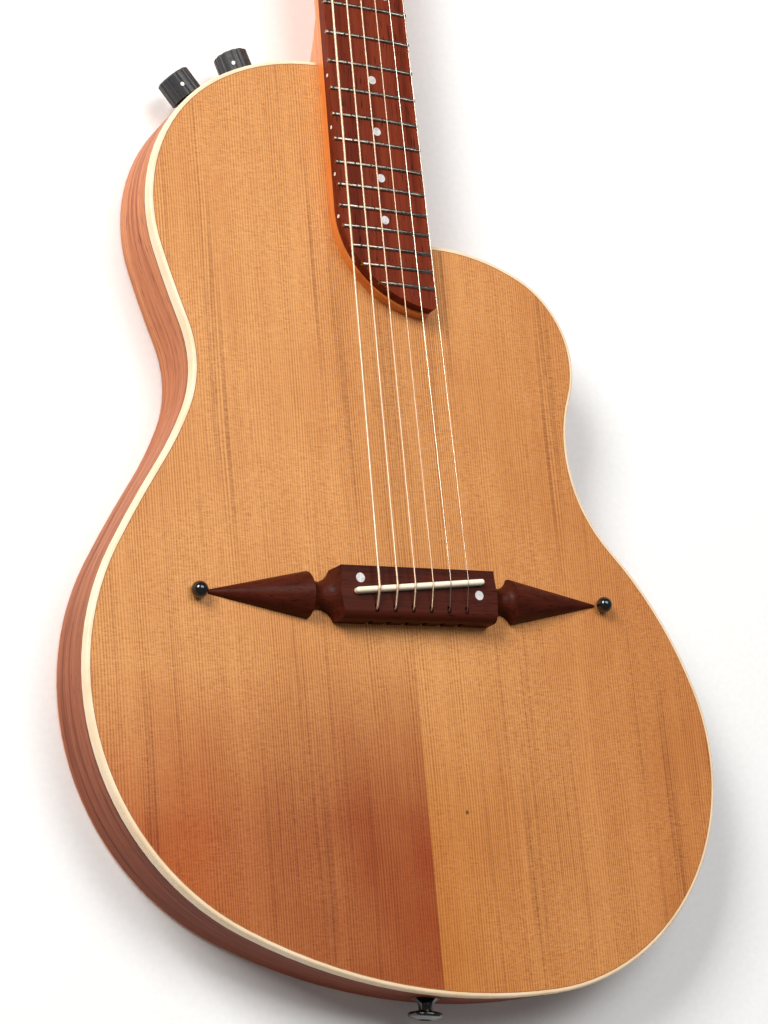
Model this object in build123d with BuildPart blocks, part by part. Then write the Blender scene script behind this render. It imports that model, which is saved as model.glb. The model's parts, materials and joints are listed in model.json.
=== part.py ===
from build123d import *
import math
import os

# Six-string acoustic-electric guitar with a thin hollow body and one deep cutaway.
# Millimetres. The guitar lies on its flat back: z = 0 is the back, +Y runs to the headstock,
# +X is the treble side, and y = 0 is where the scale length starts, at the saddle.

os.makedirs("parts", exist_ok=True)

# ---- driving dimensions -------------------------------------------------------------------
SCALE = 651.7
FRETS = 24
BODY_DEPTH = 42.0
PLATE = 3.0
SIDE_WALL = 3.2
BINDING_WIDE = 2.1
BINDING_TALL = 6.3
PURFLING = 0.5
BACK_ROUND = 2.4
LINING_WIDE = 6.0
LINING_TALL = 8.0
HEEL_Y = 294.5
NECK_HALF = 28.0

# the rim, anticlockwise from the neck's bass side: radius and sweep of each tangent arc
RIM_START = (-28.0, HEEL_Y)
RIM_HEADING = 182.1
RIM_ARCS = (
    (121, 31.1), (92, 71.6), (536, 4.3), (64, -42.7), (186, -10.4), (628, 4.7), (138, 91.7),
    (324, 31.4), (127, 45.5), (118, 58.8), (212, 24.4), (83, -64.3), (55, 84.6), (114, 31.9),
)

# neck and fretboard
BOARD_Z = BODY_DEPTH + 5.5
BOARD_THICK = 6.5
BOARD_TOP = BOARD_Z + BOARD_THICK
BOARD_HALF_NUT = 22.25
BOARD_HALF_END = 27.5
BOARD_END_R = 55.0
BOARD_END_Y = 151.0
BOARD_RADIUS = 400.0
NUT_THICK = 5.0
NUT_Z = BOARD_TOP + 2.2
SHAFT_THICK_NUT = 14.5
SHAFT_THICK_HEEL = 18.0
FRET_WIDE = 2.3
FRET_TALL = 1.0
TANG_WIDE = 0.6
TANG_DEEP = 1.6
DOT_R = 2.4
DOT_DEEP = 1.2
DOT_FRETS = (3, 5, 7, 9, 15, 17, 19, 21)
TWELFTH_DOT_X = 13.0
SIDE_DOT_FRETS = (3, 5, 7, 9, 12, 15, 17, 19, 21)
SIDE_DOT_R = 1.0
SIDE_DOT_UP = 3.6

# truss rod channel and the two bolts that hold the neck
TRUSS_SLOT_WIDE = 6.0
TRUSS_SLOT_DEEP = 10.0
TRUSS_START_Y = 330.0
TRUSS_NUT_R = 2.8
TRUSS_NUT_LONG = 12.0
BOLT_HEIGHTS = (13.0, 30.0)
BOLT_R = 3.0
BOLT_SEAT_Y = 262.0
BOLT_HEAD_R = 5.0
BOLT_HEAD_TALL = 6.0
INSERT_R = 4.5
INSERT_LONG = 14.0

# blocks and braces inside the box
END_BLOCK_WIDE = 70.0
END_BLOCK_DEEP = 18.0
BLOCK_BACK_Y = 236.0
BRACE_WIDE = 8.0
BRACE_TALL = 9.0
BRIDGE_PLATE_WIDE = 90.0
BRIDGE_PLATE_LONG = 40.0
BRIDGE_PLATE_THICK = 2.5
BACK_BRACES = ((5, -120, 290), (-5, 0, 285), (0, 120, 180))

# headstock
HEAD_Y = SCALE + NUT_THICK
HEAD_ANGLE = 8.0
HEAD_THICK = 13.5
VENEER = 1.5
POST_ROWS = (42.0, 82.0, 122.0)
POST_X = (27.0, 28.5, 30.0)
POST_R = 3.0
POST_TALL = 18.0
RUNNING = 0.05
BUSHING_R = 4.5
GEAR_R = 4.6
GEAR_Z = 18.5
WORM_OFFSET = 7.1
WORM_R = 2.2
WORM_LONG = 8.0
HOUSING_WIDE = 15.0
HOUSING_LONG = 22.0
HOUSING_DEEP = 10.0
HOUSING_SCREW_Y = -11.0
TAB_THICK = 2.0
BUTTON_X = 45.5
BUTTON_LONG = 9.0
BUTTON_SHAFT_R = 1.9
TRUSS_SCREWS = ((0, 31.0), (-7.0, 5.5), (7.0, 5.5))
TRUSS_COVER_THICK = 2.0
SCREW_LONG = 8.0
SMALL_SCREW_R = 1.2
SMALL_HEAD_R = 2.2

# strings, bass to treble
STRING_R = (0.67, 0.53, 0.41, 0.30, 0.20, 0.15)
SADDLE_SPREAD = 53.0
NUT_SPREAD = 37.5
STRING_Z_SADDLE = BODY_DEPTH + 17.0
STRING_Z_NUT = BOARD_TOP + 1.5
STRING_EXIT_Y = -15.6
STRING_POST_Z = 10.0

# bridge
BRIDGE_TALL = 13.0
BRIDGE_FRONT = 6.4
BRIDGE_REAR = -21.0
BRIDGE_HALF = 45.2
BRIDGE_AXIS_Y = -7.0
BRIDGE_NECK_X = 53.0
BRIDGE_NECK_R = 7.1
SPEAR_X = 60.0
SPEAR_R = 12.3
SPEAR_TIP_X = 115.0
BALL_X = 119.5
BALL_R = 4.3
SADDLE_THICK = 3.0
SADDLE_LONG = 76.2
SADDLE_SLOPE = 5.3
SADDLE_MID_X = -0.7
SADDLE_MID_Y = -3.65
SADDLE_DEEP = 8.0
SADDLE_TALL = 3.7
PICKUP_THICK = 1.2
BRIDGE_DOTS = ((-34.5, 0.0), (34.9, -7.0))
BRIDGE_DOT_R = 2.5
BALL_END_Y = BRIDGE_REAR + 2.6
BALL_END_R = 1.8
BALL_END_TALL = 3.6
BALL_POCKET_R = 2.2
BALL_POCKET_TALL = 6.5
STRING_NOTCH_WIDE = 2.8
LEAD_X = 34.5
LEAD_HOLE_R = 1.5

# controls on the upper bass bout: name, direction the rim faces there, which rim arc it is,
# and how far the knob's pointer is turned from straight up
KNOB_Z = 20.0
KNOB_R = 9.5
KNOB_START = 1.6
KNOB_END = 15.4
KNOB_SITES = (("volume", 127.0, 1, 20.0), ("tone", 109.3, 0, 30.0))
KNOB_SKIRT_R = 7.2
KNOB_SKIRT_DEEP = 2.6
KNOB_CAP = 3.0
FLUTES = 12
FLUTE_R = 2.3
FLUTE_DEEP = 0.45
SHAFT_R = 3.0
PANEL_HOLE_R = 3.6
POT_R = 8.2
POT_DEEP = 9.0
POT_GAP = 0.6
WASHER_THICK = 0.8
KNOB_DOT_R = 1.1
KNOB_DOT_UP = 7.9
KNOB_DOT_IN = 1.3
WASHER_R = 8.0
PANEL_NUT_HALF = 5.5
PANEL_NUT_THICK = 2.2
BUSH_OUT = 4.2

# output jack in the treble lower bout, for a 6.35 mm plug
JACK_ANGLE = -30.0
JACK_ARC = 9
JACK_HOLE_R = 3.25
JACK_BUSH_R = 4.7
JACK_LONG = 26.0
JACK_OUT = 3.6
JACK_BODY_R = 8.0
JACK_NUT_HALF = 6.5
JACK_Z = 21.0

# strap buttons
STRAP_Z = 21.0
STRAP_SCREW_R = 1.8
STRAP_SCREW_LONG = 18.0
STRAP_HEAD_R = 3.4
STRAP_LONG = 10.4
TAIL_Y = -207.7
TAIL_ANGLE = 262.2
TAIL_ARC = 7
SIDE_STRAP_Y = 278.0

# access cover in the back
COVER_CENTRE = (-80.0, 200.0)
COVER_WIDE = 76.0
COVER_LONG = 58.0
COVER_THICK = 2.0
COVER_LEDGE = 6.0
COVER_SCREWS_IN = 10.0
SCREW_BLOCK_R = 5.0
SCREW_BLOCK_TALL = 7.0

# electronics inside: width, length, height
BATTERY = (48.0, 26.0, 17.0)
BATTERY_CENTRE = (-80.0, 206.0)
PREAMP = (50.0, 26.0)
PREAMP_CENTRE = (-72.0, 60.0)
PREAMP_Z = 7.0
PREAMP_THICK = 1.6
WIRE_R = 1.0

INNER_TOP = BODY_DEPTH - PLATE
BINDING_Z = BODY_DEPTH - BINDING_TALL
CAMBER_Z = BOARD_TOP - BOARD_RADIUS
HEAD_Z = BOARD_Z - VENEER
HEAD_TILT = math.radians(HEAD_ANGLE)


# ---- helpers ------------------------------------------------------------------------------
def fret_y(number):
    """Distance of a fret from the saddle datum."""
    return SCALE / 2 ** (number / 12)


def board_half(y):
    """Half width of the fretboard at y."""
    share = (SCALE - y) / (SCALE - BOARD_END_Y)
    return BOARD_HALF_NUT + share * (BOARD_HALF_END - BOARD_HALF_NUT)


def saddle_y(x):
    """The slanted saddle's centre line."""
    return SADDLE_MID_Y + SADDLE_SLOPE / 180 * math.pi * x


def string_x(index, spread):
    """Sideways place of one string, bass to treble."""
    return (index / 5 - 0.5) * spread


def rim_plane(angle, number, z, turn=0.0):
    """Plane tangent to one of the rim's arcs, facing out, where the rim faces this way.

    Its x axis points straight up, or is turned by this much about the outward direction.
    """
    x, y = RIM_START
    heading = math.radians(RIM_HEADING)
    for radius, sweep in RIM_ARCS[:number + 1]:
        lean = math.copysign(radius, sweep)
        centre = (x - lean * math.sin(heading), y + lean * math.cos(heading))
        heading += math.radians(sweep)
        x = centre[0] + lean * math.sin(heading)
        y = centre[1] - lean * math.cos(heading)
    facing = math.radians(angle)
    lean = math.radians(turn)
    outward = (math.cos(facing), math.sin(facing), 0)
    upward = (-math.sin(lean) * outward[1], math.sin(lean) * outward[0], math.cos(lean))
    origin = (centre[0] + radius * outward[0], centre[1] + radius * outward[1], z)
    return Plane(origin=origin, x_dir=upward, z_dir=outward)


def bolt_plane(y, z):
    """Plane facing the headstock, on the axis of a neck bolt."""
    return Plane(origin=(0, y, z), x_dir=(1, 0, 0), z_dir=(0, 1, 0))


def finish(part, label):
    """Name a finished piece and write its file."""
    part.label = label
    export_step(part, f"parts/{label}.step")


def string_span(index):
    """Where a string leaves its bridge hole, crosses the saddle and the nut, and meets its post."""
    x = string_x(index, SADDLE_SPREAD)
    radius = STRING_R[index]
    side = -1 if index < 3 else 1
    row = index if index < 3 else 5 - index
    reach = POST_X[row] - POST_R - 0.4 - radius
    beside_post = head.from_local_coords(Vector(side * reach, POST_ROWS[row], STRING_POST_Z))
    return (
        Vector(x, BALL_END_Y, BODY_DEPTH + 4.8),
        Vector(x, STRING_EXIT_Y, BODY_DEPTH + BRIDGE_TALL + 0.4),
        Vector(x, saddle_y(x), STRING_Z_SADDLE + radius),
        Vector(string_x(index, NUT_SPREAD), SCALE + NUT_THICK - 0.3, STRING_Z_NUT + radius),
        beside_post,
    )


head = Plane(
    origin=(0, HEAD_Y, HEAD_Z), x_dir=(1, 0, 0), z_dir=(0, math.sin(HEAD_TILT), math.cos(HEAD_TILT))
)
tuner_sites = [(side * POST_X[row], POST_ROWS[row], side) for side in (-1, 1) for row in range(3)]
knob_planes = {name: rim_plane(angle, number, KNOB_Z, turn) for name, angle, number, turn in KNOB_SITES}
button_planes = {
    (x, y): Plane(
        origin=head.from_local_coords(Vector(side * BUTTON_X, y + WORM_OFFSET, -GEAR_Z)),
        x_dir=head.z_dir, z_dir=(side, 0, 0),
    )
    for x, y, side in tuner_sites
}
jack_plane = rim_plane(JACK_ANGLE, JACK_ARC, JACK_Z)
tail_plane = rim_plane(TAIL_ANGLE, TAIL_ARC, STRAP_Z)
side_strap_plane = Plane(origin=(NECK_HALF, SIDE_STRAP_Y, STRAP_Z), x_dir=(0, 1, 0), z_dir=(1, 0, 0))

# ---- the rim's outline --------------------------------------------------------------------
def rim_outline(inset):
    """The rim's plan, drawn in from its outer face: each arc keeps its centre and its sweep."""
    turn = math.radians(RIM_HEADING)
    start = (RIM_START[0] - inset * math.sin(turn), RIM_START[1] + inset * math.cos(turn))
    with BuildSketch() as outline:
        with BuildLine():
            tangent = (math.cos(turn), math.sin(turn))
            joined = None
            for radius, sweep in RIM_ARCS:
                drawn_in = radius - math.copysign(inset, sweep)
                if joined is None:
                    joined = JernArc(start, tangent, drawn_in, sweep)
                else:
                    joined = JernArc(joined @ 1, joined % 1, drawn_in, sweep)
            end = joined @ 1
            neck_side = NECK_HALF - inset
            Polyline(end, (neck_side, end.Y), (neck_side, HEEL_Y - inset), start)
        make_face()
    return outline.sketch


rim = rim_outline(0)
inside_binding = rim_outline(BINDING_WIDE)
inside_purfling = rim_outline(BINDING_WIDE + PURFLING)
inside_wall = rim_outline(SIDE_WALL)
inside_lining = rim_outline(SIDE_WALL + LINING_WIDE)

# the open front of the body, where the neck meets its block
with BuildSketch() as neck_gap:
    with Locations((0, (HEEL_Y + BOARD_END_Y) / 2 + 20)):
        Rectangle(2 * NECK_HALF, HEEL_Y - BOARD_END_Y + 40)

# the neck's seat between the two ends of the sides
with BuildSketch() as neck_front:
    with Locations((-SIDE_WALL / 2, HEEL_Y)):
        Rectangle(2 * NECK_HALF - SIDE_WALL, 2 * SIDE_WALL)

# ---- top ----------------------------------------------------------------------------------
with BuildPart() as top:
    with BuildSketch(Plane.XY.offset(INNER_TOP)):
        add(inside_purfling)
    extrude(amount=PLATE)
    with BuildSketch(Plane.XY.offset(INNER_TOP)):
        with Locations((LEAD_X, saddle_y(LEAD_X))):
            Circle(LEAD_HOLE_R)
    extrude(amount=PLATE, mode=Mode.SUBTRACT)
finish(top.part, "top")

# ---- back, with the recess and opening of the access cover --------------------------------
with BuildPart() as back:
    with BuildSketch():
        add(rim)
    extrude(amount=PLATE)
    fillet(back.faces().sort_by(Axis.Z)[0].edges(), BACK_ROUND)
    with BuildSketch():
        with Locations(COVER_CENTRE):
            RectangleRounded(COVER_WIDE, COVER_LONG, 10)
    extrude(amount=COVER_THICK, mode=Mode.SUBTRACT)
    with BuildSketch():
        with Locations(COVER_CENTRE):
            RectangleRounded(COVER_WIDE - 2 * COVER_LEDGE, COVER_LONG - 2 * COVER_LEDGE, 8)
    extrude(amount=PLATE, mode=Mode.SUBTRACT)
    with BuildSketch():
        with Locations(COVER_CENTRE):
            with GridLocations(COVER_WIDE - COVER_SCREWS_IN, COVER_LONG - COVER_SCREWS_IN, 2, 2):
                Circle(SMALL_SCREW_R)
    extrude(amount=PLATE, mode=Mode.SUBTRACT)
finish(back.part, "back")

with BuildPart() as back_cover:
    with BuildSketch():
        with Locations(COVER_CENTRE):
            RectangleRounded(COVER_WIDE - 0.4, COVER_LONG - 0.4, 9.8)
    extrude(amount=COVER_THICK)
    chamfer(back_cover.faces().sort_by(Axis.Z)[0].edges(), 0.4)
    with BuildSketch():
        with Locations(COVER_CENTRE):
            with GridLocations(COVER_WIDE - COVER_SCREWS_IN, COVER_LONG - COVER_SCREWS_IN, 2, 2):
                Circle(SMALL_SCREW_R)
    extrude(amount=COVER_THICK, mode=Mode.SUBTRACT)
    with BuildSketch():
        with Locations(COVER_CENTRE):
            with GridLocations(COVER_WIDE - COVER_SCREWS_IN, COVER_LONG - COVER_SCREWS_IN, 2, 2):
                Circle(2 * SMALL_SCREW_R)
    extrude(amount=1.0, mode=Mode.SUBTRACT)
finish(back_cover.part, "back_cover")

# ---- bent sides, rebated for the binding --------------------------------------------------
with BuildPart() as sides:
    with BuildSketch(Plane.XY.offset(PLATE)):
        add(rim)
        add(inside_wall, mode=Mode.SUBTRACT)
        add(neck_front.sketch, mode=Mode.SUBTRACT)
    extrude(amount=BINDING_Z - PURFLING - PLATE)
    with BuildSketch(Plane.XY.offset(BINDING_Z - PURFLING)):
        add(inside_binding)
        add(inside_wall, mode=Mode.SUBTRACT)
        add(neck_front.sketch, mode=Mode.SUBTRACT)
    extrude(amount=INNER_TOP - BINDING_Z + PURFLING)
    for plane in knob_planes.values():
        with BuildSketch(plane):
            Circle(PANEL_HOLE_R)
        extrude(amount=3 * SIDE_WALL, both=True, mode=Mode.SUBTRACT)
    with BuildSketch(jack_plane):
        Circle(JACK_BUSH_R)
    extrude(amount=3 * SIDE_WALL, both=True, mode=Mode.SUBTRACT)
    for plane in (tail_plane, side_strap_plane):
        with BuildSketch(plane):
            Circle(STRAP_SCREW_R)
        extrude(amount=2 * SIDE_WALL, both=True, mode=Mode.SUBTRACT)

for label, keep in (("side_bass", Keep.BOTTOM), ("side_treble", Keep.TOP)):
    with BuildPart() as side:
        add(sides.part)
        split(bisect_by=Plane.YZ, keep=keep)
    finish(side.part, label)

# ---- binding and the thin dark lines beside and below it ----------------------------------
with BuildPart() as binding:
    with BuildSketch(Plane.XY.offset(BINDING_Z)):
        add(rim)
    extrude(amount=BINDING_TALL)
    fillet(binding.faces().sort_by(Axis.Z)[-1].edges(), 1.2)
    with BuildSketch(Plane.XY.offset(BINDING_Z)):
        add(inside_binding)
        add(neck_gap.sketch)
    extrude(amount=BINDING_TALL, mode=Mode.SUBTRACT)
finish(binding.part, "binding")

with BuildPart() as purfling:
    with BuildSketch(Plane.XY.offset(INNER_TOP)):
        add(inside_binding)
        add(inside_purfling, mode=Mode.SUBTRACT)
    extrude(amount=PLATE)
    with BuildSketch(Plane.XY.offset(BINDING_Z - PURFLING)):
        add(rim)
        add(inside_binding, mode=Mode.SUBTRACT)
        add(neck_gap.sketch, mode=Mode.SUBTRACT)
    extrude(amount=PURFLING)
finish(purfling.part, "purfling")

# ---- linings, blocks and braces inside the box --------------------------------------------
with BuildSketch() as neck_block_plan:
    with Locations((0, (HEEL_Y + BLOCK_BACK_Y) / 2)):
        Rectangle(2 * (NECK_HALF - SIDE_WALL), HEEL_Y - BLOCK_BACK_Y)
with BuildSketch() as end_block_plan:
    add(inside_wall)
    with Locations((0, TAIL_Y + SIDE_WALL + END_BLOCK_DEEP / 2)):
        Rectangle(END_BLOCK_WIDE, END_BLOCK_DEEP, mode=Mode.INTERSECT)

with BuildPart() as linings:
    for z in (PLATE, INNER_TOP - LINING_TALL):
        with BuildSketch(Plane.XY.offset(z)):
            add(inside_wall)
            add(inside_lining, mode=Mode.SUBTRACT)
            add(neck_block_plan.sketch, mode=Mode.SUBTRACT)
            add(end_block_plan.sketch, mode=Mode.SUBTRACT)
            with Locations(COVER_CENTRE):
                Rectangle(COVER_WIDE + 8, COVER_LONG + 8, mode=Mode.SUBTRACT)
        extrude(amount=LINING_TALL)
finish(linings.part, "linings")

with BuildPart() as neck_block:
    with BuildSketch(Plane.XY.offset(PLATE)):
        add(neck_block_plan.sketch)
    extrude(amount=INNER_TOP - PLATE)
    for z in BOLT_HEIGHTS:
        with BuildSketch(bolt_plane(BLOCK_BACK_Y, z)):
            Circle(BOLT_R)
        extrude(amount=HEEL_Y - BLOCK_BACK_Y, mode=Mode.SUBTRACT)
        with BuildSketch(bolt_plane(BLOCK_BACK_Y, z)):
            Circle(BOLT_HEAD_R + 1.0)
        extrude(amount=BOLT_SEAT_Y - BLOCK_BACK_Y, mode=Mode.SUBTRACT)
    with BuildSketch(side_strap_plane):
        Circle(STRAP_SCREW_R)
    extrude(amount=-STRAP_SCREW_LONG, mode=Mode.SUBTRACT)
finish(neck_block.part, "neck_block")

with BuildPart() as end_block:
    with BuildSketch(Plane.XY.offset(PLATE)):
        add(end_block_plan.sketch)
    extrude(amount=INNER_TOP - PLATE)
    with BuildSketch(tail_plane):
        Circle(STRAP_SCREW_R)
    extrude(amount=-STRAP_SCREW_LONG, mode=Mode.SUBTRACT)
finish(end_block.part, "end_block")

with BuildPart() as top_braces:
    with BuildSketch(Plane.XY.offset(INNER_TOP - BRACE_TALL)):
        for side in (-1, 1):
            with Locations(Location((side * 52, 20, 0), 90 + side * 12)):
                SlotOverall(330, BRACE_WIDE)
            with Locations(Location((side * 112, -70, 0), 90 + side * 20)):
                SlotOverall(120, BRACE_WIDE)
    extrude(amount=BRACE_TALL)
    with BuildSketch(Plane.XY.offset(INNER_TOP - BRIDGE_PLATE_THICK)):
        with Locations((0, BRIDGE_AXIS_Y)):
            Rectangle(BRIDGE_PLATE_WIDE, BRIDGE_PLATE_LONG)
        with Locations((LEAD_X, saddle_y(LEAD_X))):
            Circle(LEAD_HOLE_R, mode=Mode.SUBTRACT)
    extrude(amount=BRIDGE_PLATE_THICK)
finish(top_braces.part, "top_braces")

with BuildPart() as back_braces:
    with BuildSketch(Plane.XY.offset(PLATE)):
        for x, y, length in BACK_BRACES:
            with Locations((x, y)):
                SlotOverall(length, BRACE_WIDE)
    extrude(amount=BRACE_TALL)
    with BuildSketch(Plane.XY.offset(PLATE)):
        with Locations(COVER_CENTRE):
            with GridLocations(COVER_WIDE - COVER_SCREWS_IN, COVER_LONG - COVER_SCREWS_IN, 2, 2):
                Circle(SCREW_BLOCK_R)
                Circle(SMALL_SCREW_R, mode=Mode.SUBTRACT)
    extrude(amount=SCREW_BLOCK_TALL)
finish(back_braces.part, "back_braces")

# ---- bridge: square stock with turned coves and half-round spears -------------------------
top_of_bridge = Plane.XY.offset(BODY_DEPTH + BRIDGE_TALL)
saddle_place = Location((SADDLE_MID_X, SADDLE_MID_Y, 0), SADDLE_SLOPE)
with BuildPart() as bridge:
    with BuildSketch(Plane.YZ):
        with BuildLine():
            Polyline(
                (BRIDGE_REAR, BODY_DEPTH), (BRIDGE_FRONT, BODY_DEPTH),
                (BRIDGE_FRONT, BODY_DEPTH + BRIDGE_TALL), (BRIDGE_REAR, BODY_DEPTH + BRIDGE_TALL),
                close=True,
            )
        face = make_face()
        fillet(face.vertices().group_by(Axis.Y)[-1].sort_by(Axis.X)[0], 4.5)
        fillet(face.vertices().group_by(Axis.Y)[-1].sort_by(Axis.X)[-1], 0.8)
    extrude(amount=SPEAR_TIP_X, both=True)
    with BuildSketch(Plane(origin=(0, BRIDGE_AXIS_Y, BODY_DEPTH))):
        with BuildLine():
            Polyline((0, 0), (0, 25), (BRIDGE_HALF, 25), (BRIDGE_HALF, 19))
            ThreePointArc((BRIDGE_HALF, 19), (BRIDGE_HALF + 2, 10.8), (BRIDGE_NECK_X, BRIDGE_NECK_R))
            ThreePointArc((BRIDGE_NECK_X, BRIDGE_NECK_R), (SPEAR_X - 2.6, 8.6), (SPEAR_X, SPEAR_R))
            Polyline((SPEAR_X, SPEAR_R), (SPEAR_TIP_X, 0.8), (SPEAR_TIP_X, 0), (0, 0))
        make_face()
        mirror(about=Plane.YZ)
    revolve(axis=Axis((0, BRIDGE_AXIS_Y, BODY_DEPTH), (1, 0, 0)), mode=Mode.INTERSECT)
    with BuildSketch(top_of_bridge):
        with Locations(saddle_place):
            SlotOverall(SADDLE_LONG, SADDLE_THICK)
    extrude(amount=-SADDLE_DEEP, mode=Mode.SUBTRACT)
    with BuildSketch(top_of_bridge):
        with Locations(*BRIDGE_DOTS):
            Circle(BRIDGE_DOT_R)
    extrude(amount=-DOT_DEEP, mode=Mode.SUBTRACT)
    with BuildSketch(Plane.XY.offset(BODY_DEPTH)):
        with Locations(*[(string_x(index, SADDLE_SPREAD), BALL_END_Y) for index in range(6)]):
            Circle(BALL_POCKET_R)
            Rectangle(STRING_NOTCH_WIDE, 2 * BALL_POCKET_R, align=(Align.CENTER, Align.MAX))
    extrude(amount=BALL_POCKET_TALL, mode=Mode.SUBTRACT)
    with BuildSketch(Plane.XY.offset(BODY_DEPTH)):
        with Locations((LEAD_X, saddle_y(LEAD_X))):
            Circle(LEAD_HOLE_R)
    extrude(amount=BRIDGE_TALL, mode=Mode.SUBTRACT)
    with BuildSketch(top_of_bridge):
        with Locations(*[(string_x(index, SADDLE_SPREAD), STRING_EXIT_Y) for index in range(6)]):
            SlotOverall(4.4, 2.4, rotation=90)
    extrude(amount=-1.6, mode=Mode.SUBTRACT)
    for index in range(6):
        low, high = string_span(index)[:2]
        with BuildSketch(Plane(origin=low, z_dir=high - low)):
            Circle(STRING_R[index] + 0.3)
        extrude(amount=(high - low).length, both=True, mode=Mode.SUBTRACT)
finish(bridge.part, "bridge")

with BuildPart() as saddle:
    with BuildSketch(top_of_bridge.offset(PICKUP_THICK - SADDLE_DEEP)):
        with Locations(saddle_place):
            SlotOverall(SADDLE_LONG, SADDLE_THICK)
    extrude(amount=SADDLE_TALL + SADDLE_DEEP - PICKUP_THICK)
    fillet(saddle.faces().sort_by(Axis.Z)[-1].edges(), 1.4)
finish(saddle.part, "saddle")

with BuildPart() as saddle_pickup:
    with BuildSketch(top_of_bridge.offset(-SADDLE_DEEP)):
        with Locations(saddle_place):
            SlotOverall(SADDLE_LONG, SADDLE_THICK)
    extrude(amount=PICKUP_THICK)
finish(saddle_pickup.part, "saddle_pickup")

with BuildPart() as bridge_dots:
    with BuildSketch(top_of_bridge.offset(-DOT_DEEP)):
        with Locations(*BRIDGE_DOTS):
            Circle(BRIDGE_DOT_R)
    extrude(amount=DOT_DEEP)
finish(bridge_dots.part, "bridge_dots")

with BuildPart() as bridge_balls:
    for side in (-1, 1):
        with BuildSketch(Plane.XZ.offset(-BRIDGE_AXIS_Y)):
            with Locations((side * BALL_X, BODY_DEPTH + BALL_R - 0.3)):
                Circle(BALL_R)
                Rectangle(BALL_R, 2 * BALL_R, align=(Align.MIN, Align.CENTER), mode=Mode.INTERSECT)
        revolve(axis=Axis((side * BALL_X, BRIDGE_AXIS_Y, 0), (0, 0, 1)))
    split(bisect_by=Plane.XY.offset(BODY_DEPTH), keep=Keep.TOP)
finish(bridge_balls.part, "bridge_balls")

with BuildPart() as string_ball_ends:
    with BuildSketch(Plane.XY.offset(BODY_DEPTH + 0.8)):
        with Locations(*[(string_x(index, SADDLE_SPREAD), BALL_END_Y) for index in range(6)]):
            Circle(BALL_END_R)
    extrude(amount=BALL_END_TALL)
    chamfer(string_ball_ends.edges().filter_by(GeomType.CIRCLE), 0.4)
finish(string_ball_ends.part, "string_ball_ends")

# ---- fretboard: tapered, cambered, with a quarter-round end ------------------------------
def board_plan(end_shift):
    """Plan of the board; its end is a quarter circle centred on the treble edge."""
    centre_y = BOARD_END_Y + BOARD_END_R - end_shift
    half = board_half(centre_y)
    treble = board_half(BOARD_END_Y)
    slope = math.pi / 4
    middle = (treble - BOARD_END_R * math.cos(slope), centre_y - BOARD_END_R * math.sin(slope))
    with BuildSketch() as plan:
        with BuildLine():
            Line((BOARD_HALF_NUT, SCALE), (-BOARD_HALF_NUT, SCALE))
            Line((-BOARD_HALF_NUT, SCALE), (-half, centre_y))
            ThreePointArc((-half, centre_y), middle, (treble, centre_y - BOARD_END_R))
            Line((treble, centre_y - BOARD_END_R), (BOARD_HALF_NUT, SCALE))
        face = make_face()
        fillet(face.vertices().sort_by(Axis.Y)[0], 2.5)
    return plan.sketch


def side_dot_plane(number):
    """Where a side dot sits on the board's bass edge, behind this fret."""
    y = (fret_y(number) + fret_y(number - 1)) / 2
    return Plane(origin=(-board_half(y), y, BOARD_Z + SIDE_DOT_UP), x_dir=(0, 1, 0), z_dir=(-1, 0, 0))


board_sketch = board_plan(0)
dot_places = [(0, (fret_y(number) + fret_y(number - 1)) / 2) for number in DOT_FRETS]
dot_places += [(x, (fret_y(12) + fret_y(11)) / 2) for x in (-TWELFTH_DOT_X, TWELFTH_DOT_X)]
with BuildPart() as fretboard:
    with BuildSketch(Plane.XY.offset(BOARD_Z)):
        add(board_sketch)
    extrude(amount=BOARD_THICK)
    with BuildSketch(Plane.XZ):
        with Locations((0, CAMBER_Z)):
            Circle(BOARD_RADIUS)
    extrude(amount=-SCALE - 1, mode=Mode.INTERSECT)
    with BuildSketch(Plane.XY.offset(BOARD_TOP - TANG_DEEP - 0.6)):
        for number in range(1, FRETS + 1):
            with Locations((0, fret_y(number))):
                Rectangle(3 * NECK_HALF, TANG_WIDE)
    extrude(amount=BOARD_THICK, mode=Mode.SUBTRACT)
    with BuildSketch(Plane.XY.offset(BOARD_TOP)):
        with Locations(*dot_places):
            Circle(DOT_R)
    extrude(amount=-DOT_DEEP, mode=Mode.SUBTRACT)
    for number in SIDE_DOT_FRETS:
        with BuildSketch(side_dot_plane(number)):
            Circle(SIDE_DOT_R)
        extrude(amount=SIDE_DOT_R, both=True, mode=Mode.SUBTRACT)
finish(fretboard.part, "fretboard")

with BuildPart() as fret_dots:
    with BuildSketch(Plane.XY.offset(BOARD_TOP - DOT_DEEP)):
        with Locations(*dot_places):
            Circle(DOT_R)
    extrude(amount=DOT_DEEP)
    with BuildSketch(Plane.XZ):
        with Locations((0, CAMBER_Z)):
            Circle(BOARD_RADIUS)
    extrude(amount=-SCALE, mode=Mode.INTERSECT)
finish(fret_dots.part, "fret_dots")

with BuildPart() as side_dots:
    for number in SIDE_DOT_FRETS:
        with BuildSketch(side_dot_plane(number)):
            Circle(SIDE_DOT_R)
        extrude(amount=-SIDE_DOT_R)
finish(side_dots.part, "side_dots")

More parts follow.
